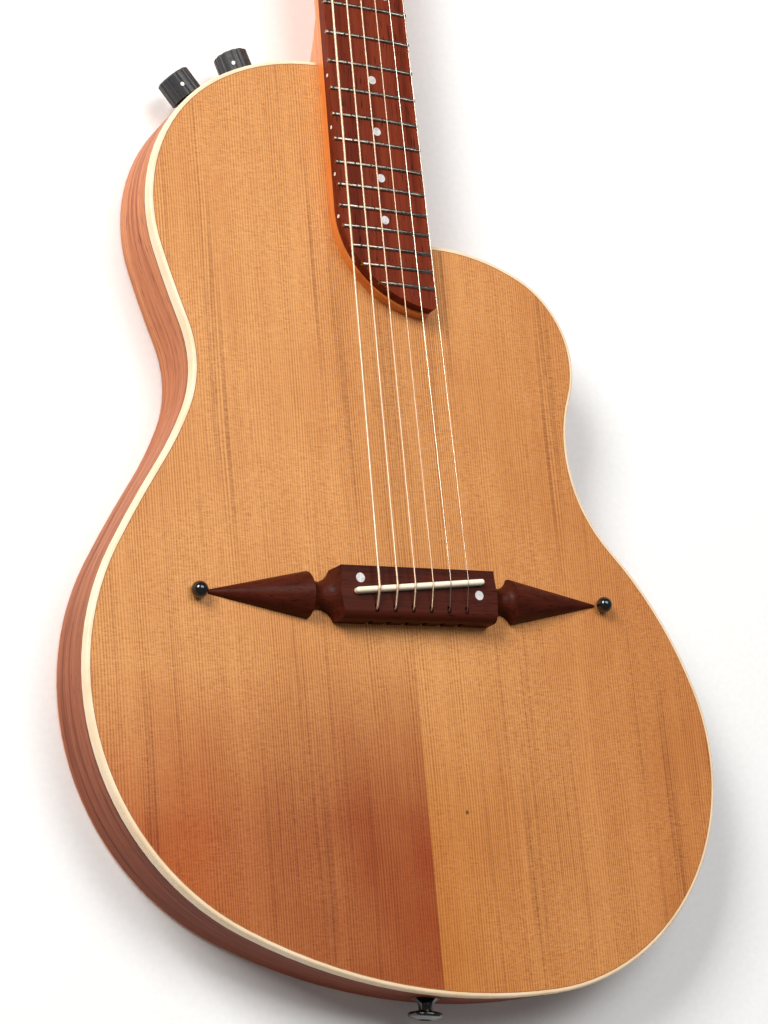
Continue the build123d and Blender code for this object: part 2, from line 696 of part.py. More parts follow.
with BuildPart() as frets:
    for number in range(1, FRETS + 1):
        with BuildSketch(Plane.XZ.offset(-fret_y(number) - FRET_WIDE / 2)):
            with Locations((0, CAMBER_Z)):
                Circle(BOARD_RADIUS + FRET_TALL)
                Circle(BOARD_RADIUS, mode=Mode.SUBTRACT)
            with Locations((0, BOARD_TOP)):
                Rectangle(2 * board_half(fret_y(number)), 6, mode=Mode.INTERSECT)
        extrude(amount=FRET_WIDE)
    crown = frets.faces().filter_by(GeomType.CYLINDER).filter_by(lambda f: f.center().Z > BOARD_TOP + 0.4)
    fillet(crown.edges().filter_by(GeomType.CIRCLE), 0.85)
    with BuildSketch(Plane.XY.offset(BOARD_TOP - TANG_DEEP - 0.6)):
        for number in range(1, FRETS + 1):
            with Locations((0, fret_y(number))):
                Rectangle(2 * board_half(fret_y(number)), TANG_WIDE)
    extrude(amount=TANG_DEEP + 0.7)
    with BuildSketch(Plane.XY.offset(BOARD_Z)):
        add(board_sketch)
    extrude(amount=2 * BOARD_THICK, mode=Mode.INTERSECT)
finish(frets.part, "frets")

# ---- neck: tongue over the top, shaft, heel and headstock in one piece --------------------
def shaft_section(y, thick):
    """Rounded back of the neck under the board at y."""
    half = board_half(y)
    flat = 2.0
    with BuildSketch(Plane.XZ.offset(-y)) as section:
        with BuildLine():
            Polyline((-half, BOARD_Z - flat), (-half, BOARD_Z), (half, BOARD_Z), (half, BOARD_Z - flat))
            EllipticalCenterArc((0, BOARD_Z - flat), half, thick - flat, start_angle=180, arc_size=180)
        make_face()
    return section.sketch


def heel_section(z, half, length, corner):
    """One level of the heel, flat against the body."""
    with BuildSketch(Plane.XY.offset(z)) as section:
        with Locations((0, HEEL_Y + length / 2)):
            face = Rectangle(2 * half, length)
        fillet(face.vertices().group_by(Axis.Y)[-1], corner)
    return section.sketch


def head_plan(foot):
    """Plan of the headstock from its foot's corners, which meet the nut."""
    with BuildSketch() as plan:
        with BuildLine():
            Polyline(*foot, (22.3, 3), (37, 26), (41, 148), (16, 158), (0, 152))
            mirror(about=Plane.YZ)
        face = make_face()
        fillet(face.vertices().group_by(Axis.Y)[2:-1], 8)
    return plan.sketch


with BuildPart() as neck:
    with BuildSketch(Plane.XY.offset(BODY_DEPTH)):
        add(board_plan(1.5))
        with Locations((0, HEEL_Y)):
            Rectangle(3 * NECK_HALF, 400, align=(Align.CENTER, Align.MAX), mode=Mode.INTERSECT)
    extrude(amount=BOARD_Z - BODY_DEPTH)
    loft([shaft_section(HEEL_Y, SHAFT_THICK_HEEL), shaft_section(SCALE, SHAFT_THICK_NUT)])
    loft([
        heel_section(BOARD_Z - 2, board_half(HEEL_Y) - 0.3, 48, 16),
        heel_section(24, 21, 18, 9),
        heel_section(2, 14, 13, 8),
    ])
    with BuildSketch(head.offset(-HEAD_THICK)):
        add(head_plan([(0, -NUT_THICK - 3), (21.5, -NUT_THICK - 3)]))
    extrude(amount=HEAD_THICK)
    with BuildSketch(Plane.XY.offset(BOARD_Z)):
        with Locations((0, SCALE)):
            Rectangle(4 * NECK_HALF, 2 * NECK_HALF)
    extrude(amount=2 * BOARD_THICK, mode=Mode.SUBTRACT)
    with BuildSketch(Plane.XY.offset(BOARD_Z)):
        with Locations((0, TRUSS_START_Y)):
            Rectangle(
                TRUSS_SLOT_WIDE, HEAD_Y + TRUSS_NUT_LONG + 2 - TRUSS_START_Y, align=(Align.CENTER, Align.MIN)
            )
    extrude(amount=-TRUSS_SLOT_DEEP, mode=Mode.SUBTRACT)
    for z in BOLT_HEIGHTS:
        with BuildSketch(bolt_plane(HEEL_Y, z)):
            Circle(INSERT_R)
        extrude(amount=INSERT_LONG, mode=Mode.SUBTRACT)
    for x, y, side in tuner_sites:
        with BuildSketch(head):
            with Locations((x, y)):
                Circle(BUSHING_R)
        extrude(amount=-HEAD_THICK, mode=Mode.SUBTRACT)
        with BuildSketch(head.offset(-HEAD_THICK)):
            with Locations((x, y + HOUSING_SCREW_Y)):
                Circle(SMALL_SCREW_R)
        extrude(amount=SCREW_LONG, mode=Mode.SUBTRACT)
    with BuildSketch(head):
        with Locations(*TRUSS_SCREWS):
            Circle(SMALL_SCREW_R)
    extrude(amount=-SCREW_LONG, mode=Mode.SUBTRACT)
finish(neck.part, "neck")

with BuildPart() as neck_bolts:
    for z in BOLT_HEIGHTS:
        with BuildSketch(bolt_plane(BOLT_SEAT_Y, z)):
            Circle(BOLT_R - 0.1)
        extrude(amount=HEEL_Y + INSERT_LONG - 2 - BOLT_SEAT_Y)
        with BuildSketch(bolt_plane(BOLT_SEAT_Y, z)):
            Circle(BOLT_HEAD_R)
        extrude(amount=-BOLT_HEAD_TALL)
        with BuildSketch(bolt_plane(BOLT_SEAT_Y - BOLT_HEAD_TALL, z)):
            RegularPolygon(BOLT_HEAD_R / 2, 6)
        extrude(amount=BOLT_HEAD_TALL / 2, mode=Mode.SUBTRACT)
finish(neck_bolts.part, "neck_bolts")

with BuildPart() as neck_inserts:
    for z in BOLT_HEIGHTS:
        with BuildSketch(bolt_plane(HEEL_Y, z)):
            Circle(INSERT_R)
            Circle(BOLT_R, mode=Mode.SUBTRACT)
        extrude(amount=INSERT_LONG)
finish(neck_inserts.part, "neck_inserts")

with BuildPart() as truss_rod:
    with BuildSketch(Plane.XY.offset(BOARD_Z)):
        with Locations((0, TRUSS_START_Y)):
            Rectangle(TRUSS_SLOT_WIDE, SCALE - TRUSS_START_Y, align=(Align.CENTER, Align.MIN))
    extrude(amount=-TRUSS_SLOT_DEEP + 1)
    with BuildSketch(bolt_plane(SCALE, BOARD_Z - TRUSS_SLOT_DEEP / 2)):
        Circle(TRUSS_NUT_R)
    extrude(amount=TRUSS_NUT_LONG)
    with BuildSketch(bolt_plane(SCALE + TRUSS_NUT_LONG, BOARD_Z - TRUSS_SLOT_DEEP / 2)):
        RegularPolygon(TRUSS_NUT_R - 1, 6)
    extrude(amount=-TRUSS_NUT_LONG / 2, mode=Mode.SUBTRACT)
finish(truss_rod.part, "truss_rod")

# ---- nut ----------------------------------------------------------------------------------
with BuildPart() as nut:
    with BuildSketch(Plane.XY.offset(BOARD_Z)):
        with Locations((0, SCALE + NUT_THICK / 2)):
            Rectangle(2 * BOARD_HALF_NUT, NUT_THICK)
    extrude(amount=NUT_Z - BOARD_Z)
    fillet(nut.faces().sort_by(Axis.Z)[-1].edges().filter_by(Axis.X), 1.2)
    for index in range(6):
        crossing = string_span(index)[3]
        width = 2 * STRING_R[index] + 0.2
        with BuildSketch(Plane.XZ.offset(-SCALE + 1)):
            with Locations((crossing.X, crossing.Z)):
                Circle(width / 2)
                Rectangle(width, 6, align=(Align.CENTER, Align.MIN))
        extrude(amount=-NUT_THICK - 2, mode=Mode.SUBTRACT)
finish(nut.part, "nut")

# ---- headstock face, truss rod cover ------------------------------------------------------
with BuildPart() as headstock_veneer:
    with BuildSketch(head):
        add(head_plan([(0, 0.6), (22.2, 0.6)]))
        with Locations(*[(x, y) for x, y, side in tuner_sites]):
            Circle(BUSHING_R, mode=Mode.SUBTRACT)
        with Locations((0, 0)):
            Rectangle(TRUSS_SLOT_WIDE + 1, 2 * TRUSS_NUT_LONG + 6, mode=Mode.SUBTRACT)
        with Locations(*TRUSS_SCREWS):
            Circle(SMALL_SCREW_R, mode=Mode.SUBTRACT)
    extrude(amount=VENEER)
finish(headstock_veneer.part, "headstock_veneer")

with BuildPart() as truss_cover:
    with BuildSketch(head.offset(VENEER)):
        with BuildLine():
            Polyline((0, 1.5), (11, 1.5), (8.5, 22), (0, 36))
            mirror(about=Plane.YZ)
        face = make_face()
        fillet(face.vertices(), 2)
        with Locations(*TRUSS_SCREWS):
            Circle(SMALL_SCREW_R, mode=Mode.SUBTRACT)
    extrude(amount=TRUSS_COVER_THICK)
    chamfer(truss_cover.faces().sort_by(Axis.Z)[-1].outer_wire().edges(), 0.5)
finish(truss_cover.part, "truss_cover")

# ---- tuners: worm on the button's shaft turns the gear on the post ------------------------
with BuildPart() as tuner_housings:
    for x, y, side in tuner_sites:
        with BuildSketch(head.offset(-HEAD_THICK)):
            with Locations((x, y + WORM_OFFSET / 2)):
                RectangleRounded(HOUSING_WIDE, HOUSING_LONG, 4)
            with Locations((x, y + HOUSING_SCREW_Y)):
                Circle(3.2)
            with Locations((x, y + HOUSING_SCREW_Y + 3)):
                Rectangle(6.4, 6)
        extrude(amount=-TAB_THICK)
        with BuildSketch(head.offset(-HEAD_THICK)):
            with Locations((x, y + WORM_OFFSET / 2)):
                RectangleRounded(HOUSING_WIDE, HOUSING_LONG, 4)
        extrude(amount=-HOUSING_DEEP)
    with BuildSketch(head.offset(-HEAD_THICK)):
        with Locations(*[(x, y) for x, y, side in tuner_sites]):
            Circle(GEAR_R + 0.4)
        with Locations(*[(x, y + WORM_OFFSET) for x, y, side in tuner_sites]):
            Rectangle(WORM_LONG + 1, 2 * WORM_R + 0.8)
        with Locations(*[(x, y + HOUSING_SCREW_Y) for x, y, side in tuner_sites]):
            Circle(SMALL_SCREW_R)
    extrude(amount=-HOUSING_DEEP + 1.2, mode=Mode.SUBTRACT)
    for x, y, side in tuner_sites:
        with BuildSketch(button_planes[(x, y)]):
            Circle(BUTTON_SHAFT_R + RUNNING)
        extrude(amount=-HOUSING_WIDE, mode=Mode.SUBTRACT)
finish(tuner_housings.part, "tuner_housings")

with BuildPart() as tuner_bushings:
    with BuildSketch(head.offset(VENEER)):
        with Locations(*[(x, y) for x, y, side in tuner_sites]):
            Circle(7.0)
            Circle(POST_R + RUNNING, mode=Mode.SUBTRACT)
    extrude(amount=0.6)
    with BuildSketch(head.offset(VENEER + 0.6)):
        with Locations(*[(x, y) for x, y, side in tuner_sites]):
            RegularPolygon(5.5, 6, major_radius=False)
            Circle(POST_R + RUNNING, mode=Mode.SUBTRACT)
    extrude(amount=2.0)
    with BuildSketch(head.offset(VENEER)):
        with Locations(*[(x, y) for x, y, side in tuner_sites]):
            Circle(BUSHING_R)
            Circle(POST_R + RUNNING, mode=Mode.SUBTRACT)
    extrude(amount=-HEAD_THICK - VENEER)
finish(tuner_bushings.part, "tuner_bushings")

for number, (x, y, side) in enumerate(tuner_sites, start=1):
    post_foot = head.from_local_coords(Vector(x, y, 0))
    post_hole = head.from_local_coords(Vector(x, y, STRING_POST_Z))
    with BuildPart() as tuner_post:
        with BuildSketch(Plane(origin=post_foot, x_dir=(1, 0, 0), z_dir=head.y_dir * -1)):
            with BuildLine():
                Polyline(
                    (0, -GEAR_Z - 2), (GEAR_R, -GEAR_Z - 2), (GEAR_R, -GEAR_Z + 2),
                    (POST_R, -GEAR_Z + 2), (POST_R, 6), (POST_R - 0.5, 8), (POST_R - 0.5, 12),
                    (POST_R, 14), (POST_R, POST_TALL - 0.6), (POST_R - 0.6, POST_TALL),
                    (0, POST_TALL), close=True,
                )
            make_face()
        revolve(axis=Axis(post_foot, head.z_dir))
        with BuildSketch(Plane(origin=post_hole, x_dir=head.z_dir, z_dir=(1, 0, 0))):
            Circle(0.9)
        extrude(amount=POST_R + 1, both=True, mode=Mode.SUBTRACT)
    finish(tuner_post.part, f"tuner_post_{number}")

    with BuildPart() as tuner_button:
        shaft_start = button_planes[(x, y)]
        with BuildSketch(shaft_start):
            Circle(BUTTON_SHAFT_R)
        extrude(amount=-(BUTTON_X - abs(x) - WORM_LONG / 2))
        with BuildSketch(shaft_start.offset(-(BUTTON_X - abs(x) - WORM_LONG / 2))):
            Circle(WORM_R)
        extrude(amount=-WORM_LONG)
        with BuildSketch(shaft_start):
            Circle(3.2)
        extrude(amount=2.0)
        with BuildSketch(shaft_start.offset(2.0)):
            Ellipse(5.0, 8.2)
        extrude(amount=BUTTON_LONG)
        fillet(tuner_button.faces().sort_by(Axis.X)[-1 if side > 0 else 0].edges(), 2.2)
        fillet(tuner_button.edges().filter_by(GeomType.ELLIPSE).group_by(Axis.X)[0 if side > 0 else -1], 1.2)
    finish(tuner_button.part, f"tuner_button_{number}")

# ---- strings: from their ball ends, over the saddle and the nut, to the posts --------------
def string_tube(index):
    """One taut string as straight runs joined by tangent arcs."""
    points = string_span(index)
    with BuildPart() as tube:
        with BuildLine() as path:
            FilletPolyline(*points, radius=3)
        with BuildSketch(Plane(origin=points[0], z_dir=points[1] - points[0])):
            Circle(STRING_R[index])
        sweep()
    return tube.part


with BuildPart() as wound_strings:
    for index in range(4):
        add(string_tube(index))
finish(wound_strings.part, "wound_strings")

with BuildPart() as plain_strings:
    for index in range(4, 6):
        add(string_tube(index))
finish(plain_strings.part, "plain_strings")

# ---- controls on the rim ------------------------------------------------------------------
with BuildPart() as pots:
    for plane in knob_planes.values():
        with BuildSketch(plane.offset(-SIDE_WALL - POT_GAP)):
            Circle(POT_R)
        extrude(amount=-POT_DEEP)
        with BuildSketch(plane.offset(-SIDE_WALL - POT_GAP)):
            Circle(PANEL_HOLE_R - 0.1)
        extrude(amount=SIDE_WALL + POT_GAP + BUSH_OUT)
        with BuildSketch(plane.offset(BUSH_OUT)):
            Circle(SHAFT_R + RUNNING)
        extrude(amount=-SIDE_WALL - POT_GAP - BUSH_OUT - POT_DEEP + 2, mode=Mode.SUBTRACT)
finish(pots.part, "pots")

with BuildPart() as panel_nuts:
    for plane in knob_planes.values():
        with BuildSketch(plane):
            Circle(WASHER_R)
            Circle(PANEL_HOLE_R, mode=Mode.SUBTRACT)
        extrude(amount=WASHER_THICK)
        with BuildSketch(plane.offset(WASHER_THICK)):
            RegularPolygon(PANEL_NUT_HALF, 6, major_radius=False)
            Circle(PANEL_HOLE_R, mode=Mode.SUBTRACT)
        extrude(amount=PANEL_NUT_THICK)
    with BuildSketch(jack_plane):
        Circle(WASHER_R)
        Circle(JACK_BUSH_R, mode=Mode.SUBTRACT)
    extrude(amount=WASHER_THICK)
    with BuildSketch(jack_plane.offset(WASHER_THICK)):
        RegularPolygon(JACK_NUT_HALF, 6, major_radius=False)
        Circle(JACK_BUSH_R, mode=Mode.SUBTRACT)
    extrude(amount=PANEL_NUT_THICK)
finish(panel_nuts.part, "panel_nuts")

for name, plane in knob_planes.items():
    with BuildPart() as pot_shaft:
        with BuildSketch(plane.offset(KNOB_END - KNOB_CAP)):
            Circle(SHAFT_R)
        extrude(amount=-KNOB_END - SIDE_WALL - POT_GAP - POT_DEEP + 2 * KNOB_CAP)
    finish(pot_shaft.part, f"{name}_shaft")

    with BuildPart() as knob:
        with BuildSketch(plane.offset(KNOB_START)):
            Circle(KNOB_R)
            with PolarLocations(KNOB_R + FLUTE_R - FLUTE_DEEP, FLUTES):
                Circle(FLUTE_R, mode=Mode.SUBTRACT)
        extrude(amount=KNOB_END - KNOB_START)
        with BuildSketch(plane.offset(KNOB_START)):
            Circle(KNOB_SKIRT_R)
        extrude(amount=KNOB_SKIRT_DEEP, mode=Mode.SUBTRACT)
        chamfer(knob.faces().sort_by(Axis(plane.origin, plane.z_dir))[-1].edges(), 0.8)
        with BuildSketch(plane.offset(KNOB_START)):
            Circle(SHAFT_R)
        extrude(amount=KNOB_END - KNOB_START - KNOB_CAP, mode=Mode.SUBTRACT)
        dot_centre = plane.from_local_coords(Vector(KNOB_R - KNOB_DOT_IN, 0, KNOB_DOT_UP))
        with BuildSketch(Plane(origin=dot_centre, x_dir=plane.z_dir, z_dir=plane.x_dir)):
            Circle(KNOB_DOT_R)
        extrude(amount=2 * KNOB_DOT_IN, mode=Mode.SUBTRACT)
    finish(knob.part, f"{name}_knob")

    with BuildPart() as knob_dot:
        with BuildSketch(Plane(origin=dot_centre, x_dir=plane.z_dir, z_dir=plane.x_dir)):
            Circle(KNOB_DOT_R)
        extrude(amount=0.8)
    finish(knob_dot.part, f"{name}_knob_dot")

with BuildPart() as output_jack:
    with BuildSketch(jack_plane.offset(JACK_OUT)):
        Circle(JACK_BUSH_R)
    extrude(amount=-JACK_LONG)
    with BuildSketch(jack_plane.offset(-SIDE_WALL - POT_GAP)):
        Circle(JACK_BODY_R)
    extrude(amount=-JACK_LONG + SIDE_WALL + POT_GAP + JACK_OUT)
    with BuildSketch(jack_plane.offset(JACK_OUT)):
        Circle(JACK_HOLE_R)
    extrude(amount=-JACK_LONG + 1.5, mode=Mode.SUBTRACT)
finish(output_jack.part, "output_jack")

# ---- strap buttons ------------------------------------------------------------------------
with BuildPart() as strap_buttons:
    for plane in (tail_plane, side_strap_plane):
        with BuildSketch(Plane(origin=plane.origin, x_dir=plane.x_dir, z_dir=plane.y_dir * -1)):
            with BuildLine():
                Polyline((STRAP_SCREW_R, 0), (7.2, 0))
                ThreePointArc((7.2, 0), (4.4, 2.2), (3.5, 5.6))
                Polyline((3.5, 5.6), (8.2, 6.8))
                ThreePointArc((8.2, 6.8), (8.9, 8.0), (8.0, 9.2))
                Polyline((8.0, 9.2), (4.6, STRAP_LONG), (STRAP_SCREW_R, STRAP_LONG), (STRAP_SCREW_R, 0))
            make_face()
        revolve(axis=Axis(plane.origin, plane.z_dir))
        with BuildSketch(plane.offset(STRAP_LONG)):
            Circle(STRAP_HEAD_R)
        extrude(amount=-2.2, mode=Mode.SUBTRACT)
finish(strap_buttons.part, "strap_buttons")

with BuildPart() as strap_screws:
    for plane in (tail_plane, side_strap_plane):
        with BuildSketch(plane.offset(STRAP_LONG - 0.4)):
            Circle(STRAP_HEAD_R)
        extrude(amount=-1.8)
        with BuildSketch(plane.offset(STRAP_LONG - 2.2)):
            Circle(STRAP_SCREW_R)
        extrude(amount=-STRAP_LONG + 2.2 - STRAP_SCREW_LONG)
        with BuildSketch(plane.offset(STRAP_LONG - 0.4)):
            Rectangle(4.6, 0.9)
            Rectangle(0.9, 4.6)
        extrude(amount=-1.0, mode=Mode.SUBTRACT)
finish(strap_screws.part, "strap_screws")

# ---- small screws: access cover, truss rod cover and tuner housings -----------------------
screw_planes = []
for x, y in TRUSS_SCREWS:
    over = head.from_local_coords(Vector(x, y, VENEER + TRUSS_COVER_THICK))
    screw_planes.append(Plane(origin=over, x_dir=(1, 0, 0), z_dir=head.z_dir))
for x, y, side in tuner_sites:
    under = head.from_local_coords(Vector(x, y + HOUSING_SCREW_Y, -HEAD_THICK - TAB_THICK))
    screw_planes.append(Plane(origin=under, x_dir=(1, 0, 0), z_dir=head.z_dir * -1))
with BuildPart() as small_screws:
    for plane in screw_planes:
        with BuildSketch(plane):
            Circle(SMALL_HEAD_R)
        extrude(amount=1.1)
        chamfer(small_screws.faces().sort_by(Axis(plane.origin, plane.z_dir))[-1].edges(), 0.4)
        with BuildSketch(plane):
            Circle(SMALL_SCREW_R)
        extrude(amount=-SCREW_LONG)
    with BuildSketch():
        with Locations(COVER_CENTRE):
            with GridLocations(COVER_WIDE - COVER_SCREWS_IN, COVER_LONG - COVER_SCREWS_IN, 2, 2):
                Circle(2 * SMALL_SCREW_R)
    extrude(amount=1.0)
    with BuildSketch():
        with Locations(COVER_CENTRE):
            with GridLocations(COVER_WIDE - COVER_SCREWS_IN, COVER_LONG - COVER_SCREWS_IN, 2, 2):
                Circle(SMALL_SCREW_R)
    extrude(amount=SCREW_LONG)
finish(small_screws.part, "small_screws")

# ---- electronics inside -------------------------------------------------------------------
with BuildPart() as battery:
    with BuildSketch(Plane.XY.offset(PLATE)):
        with Locations(BATTERY_CENTRE):
            RectangleRounded(BATTERY[0], BATTERY[1], 2)
    extrude(amount=BATTERY[2])
    battery_face = Vector(BATTERY_CENTRE[0] + BATTERY[0] / 2, BATTERY_CENTRE[1], PLATE + BATTERY[2] / 2)
    with BuildSketch(Plane(origin=battery_face, x_dir=(0, 1, 0), z_dir=(1, 0, 0))):
        with Locations((-6, 0), (6, 0)):
            Circle(3.5)
    extrude(amount=2.6)
finish(battery.part, "battery")

with BuildPart() as preamp_board:
    with BuildSketch(Plane.XY.offset(PREAMP_Z)):
        with Locations(PREAMP_CENTRE):
            Rectangle(PREAMP[0], PREAMP[1])
    extrude(amount=PREAMP_THICK)
    with BuildSketch(Plane.XY.offset(PREAMP_Z + PREAMP_THICK)):
        with Locations(PREAMP_CENTRE):
            with Locations((-12, 4)):
                Rectangle(10, 8)
            with Locations((12, -4)):
                Rectangle(8, 6)
    extrude(amount=2.5)
    with BuildSketch(Plane.XY.offset(PREAMP_Z + PREAMP_THICK)):
        with Locations(PREAMP_CENTRE):
            with GridLocations(14, 9, 3, 2):
                Circle(2.4)
    extrude(amount=5.5)
    with BuildSketch(Plane.XY.offset(PLATE)):
        with Locations(PREAMP_CENTRE):
            with GridLocations(PREAMP[0] - 6, PREAMP[1] - 6, 2, 2):
                Circle(2.2)
    extrude(amount=PREAMP_Z - PLATE)
finish(preamp_board.part, "preamp_board")

# each lead as the points that its cable passes
board_edge = PREAMP_CENTRE[0] + PREAMP[0] / 2
board_end = PREAMP_CENTRE[1] + PREAMP[1] / 2
wire_z = PREAMP_Z + PREAMP_THICK / 2
jack_end = jack_plane.from_local_coords(Vector(0, 0, JACK_OUT - JACK_LONG - 0.3))
battery_end = Vector(BATTERY_CENTRE[0], BATTERY_CENTRE[1] - BATTERY[1] / 2 - 0.1, PLATE + 9)
pickup_lead = (
    Vector(LEAD_X, saddle_y(LEAD_X), BODY_DEPTH + 4.8),
    Vector(LEAD_X, saddle_y(LEAD_X), 22),
    Vector(0, 30, 18),
    Vector(board_edge + 24, PREAMP_CENTRE[1], wire_z),
    Vector(board_edge + 0.1, PREAMP_CENTRE[1], wire_z),
)
jack_lead = (
    jack_end,
    jack_end + Vector(-22, 18, -4),
    Vector(60, -70, 16),
    Vector(0, 20, 14),
    Vector(board_edge + 20, PREAMP_CENTRE[1] - 7, wire_z),
    Vector(board_edge + 0.1, PREAMP_CENTRE[1] - 7, wire_z),
)
lead_x = PREAMP_CENTRE[0] + 14
battery_lead = (
    battery_end,
    battery_end + Vector(0, -10, 0),
    Vector(lead_x, board_end + 70, 20),
    Vector(lead_x, board_end + 34, 20),
    Vector(lead_x, board_end + 14, wire_z),
    Vector(lead_x, board_end + 0.1, wire_z),
)
with BuildPart() as wiring:
    for route in (pickup_lead, jack_lead, battery_lead):
        with BuildLine() as path:
            FilletPolyline(*route, radius=6)
        with BuildSketch(Plane(origin=route[0], z_dir=route[1] - route[0])):
            Circle(WIRE_R)
        sweep(path=path.line)
finish(wiring.part, "wiring")
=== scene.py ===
import json
import math

import bpy
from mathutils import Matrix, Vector


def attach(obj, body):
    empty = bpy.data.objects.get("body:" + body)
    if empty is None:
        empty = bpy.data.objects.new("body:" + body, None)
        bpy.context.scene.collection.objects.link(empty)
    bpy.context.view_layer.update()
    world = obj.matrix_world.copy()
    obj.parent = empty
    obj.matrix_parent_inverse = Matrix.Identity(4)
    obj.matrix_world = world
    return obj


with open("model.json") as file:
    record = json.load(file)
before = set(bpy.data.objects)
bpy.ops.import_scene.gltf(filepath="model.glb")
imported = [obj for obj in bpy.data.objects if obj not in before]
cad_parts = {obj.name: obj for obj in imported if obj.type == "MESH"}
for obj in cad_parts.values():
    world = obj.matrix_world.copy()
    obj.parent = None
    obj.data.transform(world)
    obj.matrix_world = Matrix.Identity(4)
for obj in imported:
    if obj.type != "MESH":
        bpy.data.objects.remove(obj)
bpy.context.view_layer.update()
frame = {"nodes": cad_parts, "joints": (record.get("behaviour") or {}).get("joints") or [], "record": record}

nodes = frame["nodes"]
MM = 0.001

# The guitar lies on its back on a pale floor. +Y runs to the headstock, +X is the treble side,
# and x = 0 is the glue line of the bookmatched top. Lengths are in metres.

RING_SPACING = 1.45 * MM           # growth rings of the top, across the grain
KNOT_AT = (0.0227, -0.0942, 0.0)   # pin knot, with its y already shortened by KNOT_SQUASH
KNOT_SQUASH = 0.8
WRAP_PITCH = 0.36 * MM             # turns of the bronze wrap along a wound string
EDGE_LINE_Z = (37.2 * MM, 38.2 * MM)   # below: line under the binding; above: line beside it

STRING_R = (0.67 * MM, 0.53 * MM, 0.41 * MM, 0.30 * MM, 0.20 * MM, 0.15 * MM)   # bass to treble
WOUND_COUNT = 4
STRING_OF_POST = {1: 0, 2: 1, 3: 2, 4: 5, 5: 4, 6: 3}   # posts count up the bass side first
POST_R = 3.0 * MM
STRING_ON_POST = 10.0 * MM         # height of the first turn above the joint's origin
THICK_TURNS = 2.4
THIN_TURNS = 2.9
THIN_R = 0.35 * MM                 # strings thinner than this take THIN_TURNS
STEPS_PER_TURN = 36
FIRST_GAP = 0.4 * MM               # between the post and the first turn
TURN_IN = 0.3 * MM                 # how far the last turn lies inside the first
TURN_DROP = 2.15                   # fall of one turn, in string radii

FLOOR_REACH = 6.0
FLOOR_DROP = 0.3 * MM
WORLD_STRENGTH = 0.16
AIM = (0.0, 0.1, 0.0)
CAMERA_AT = (-0.5539, -0.2570, 0.9886)
CAMERA_TURN = (17.943, -28.410, -5.657)   # degrees
CAMERA_LENS = 76.49                       # mm, on a sensor 36 mm wide
CAMERA_SENSOR = 36.0


# ---- shader helpers -----------------------------------------------------------------------
def srgb(red, green, blue):
    """An 8-bit display colour as the linear colour that shaders take."""
    def linear(value):
        share = value / 255
        return share / 12.92 if share <= 0.04045 else ((share + 0.055) / 1.055) ** 2.4
    return (linear(red), linear(green), linear(blue), 1.0)


class Surface:
    """One procedural material, built a node at a time."""

    def __init__(self, name):
        self.material = bpy.data.materials.new(name)
        self.material.use_nodes = True
        self.tree = self.material.node_tree
        self.shader = self.tree.nodes["Principled BSDF"]
        self.position = self.node("TexCoord").outputs["Object"]

    def node(self, kind, inputs=None, **settings):
        item = self.tree.nodes.new("ShaderNode" + kind)
        for key, value in settings.items():
            setattr(item, key, value)
        for key, value in (inputs or {}).items():
            if isinstance(value, bpy.types.NodeSocket):
                self.tree.links.new(value, item.inputs[key])
            else:
                item.inputs[key].default_value = value
        return item

    def math(self, operation, first, second=0.0):
        return self.node("Math", {0: first, 1: second}, operation=operation).outputs[0]

    def split(self):
        """The object's own x, y and z."""
        return self.node("SeparateXYZ", {0: self.position}).outputs

    def join(self, x, y, z):
        return self.node("CombineXYZ", {0: x, 1: y, 2: z}).outputs[0]

    def stretch(self, scale, vector=None):
        """Coordinates multiplied along each axis: features per metre."""
        inputs = {0: vector or self.position, 1: scale}
        return self.node("VectorMath", inputs, operation="MULTIPLY").outputs[0]

    def noise(self, vector, detail=3.0, rough=0.5, distortion=0.0):
        inputs = {"Vector": vector, "Scale": 1.0, "Detail": detail, "Roughness": rough,
                  "Distortion": distortion}
        return self.node("TexNoise", inputs).outputs["Fac"]

    def ramp(self, value, *stops):
        """Colours or grey levels at places along 0 to 1."""
        item = self.node("ValToRGB", {"Fac": value})
        elements = item.color_ramp.elements
        while len(elements) < len(stops):
            elements.new(0.5)
        for element, (place, colour) in zip(elements, stops):
            element.position = place
            grey = isinstance(colour, (int, float))
            element.color = (colour, colour, colour, 1) if grey else colour
        return item.outputs["Color"]

    def range(self, value, low, high, new_low=0.0, new_high=1.0):
        inputs = {"Value": value, "From Min": low, "From Max": high, "To Min": new_low, "To Max": new_high}
        return self.node("MapRange", inputs, clamp=True).outputs["Result"]

    def mix(self, share, first, second, blend="MIX"):
        item = self.node("Mix", data_type="RGBA", blend_type=blend)
        for socket, value in ((item.inputs[0], share), (item.inputs[6], first), (item.inputs[7], second)):
            if isinstance(value, bpy.types.NodeSocket):
                self.tree.links.new(value, socket)
            else:
                socket.default_value = value
        return item.outputs[2]

    def finish(self, colour, roughness, height=None, depth=0.1, metallic=0.0, **constants):
        """Connects the shader. depth is the bump's height in millimetres."""
        for name, value in (("Base Color", colour), ("Roughness", roughness)):
            if isinstance(value, bpy.types.NodeSocket):
                self.tree.links.new(value, self.shader.inputs[name])
            else:
                self.shader.inputs[name].default_value = value
        self.shader.inputs["Metallic"].default_value = metallic
        for name, value in constants.items():
            self.shader.inputs[name.replace("_", " ")].default_value = value
        if height is not None:
            bump = self.node("Bump", {"Height": height, "Distance": depth * MM, "Strength": 1.0})
            self.tree.links.new(bump.outputs["Normal"], self.shader.inputs["Normal"])
        return self.material


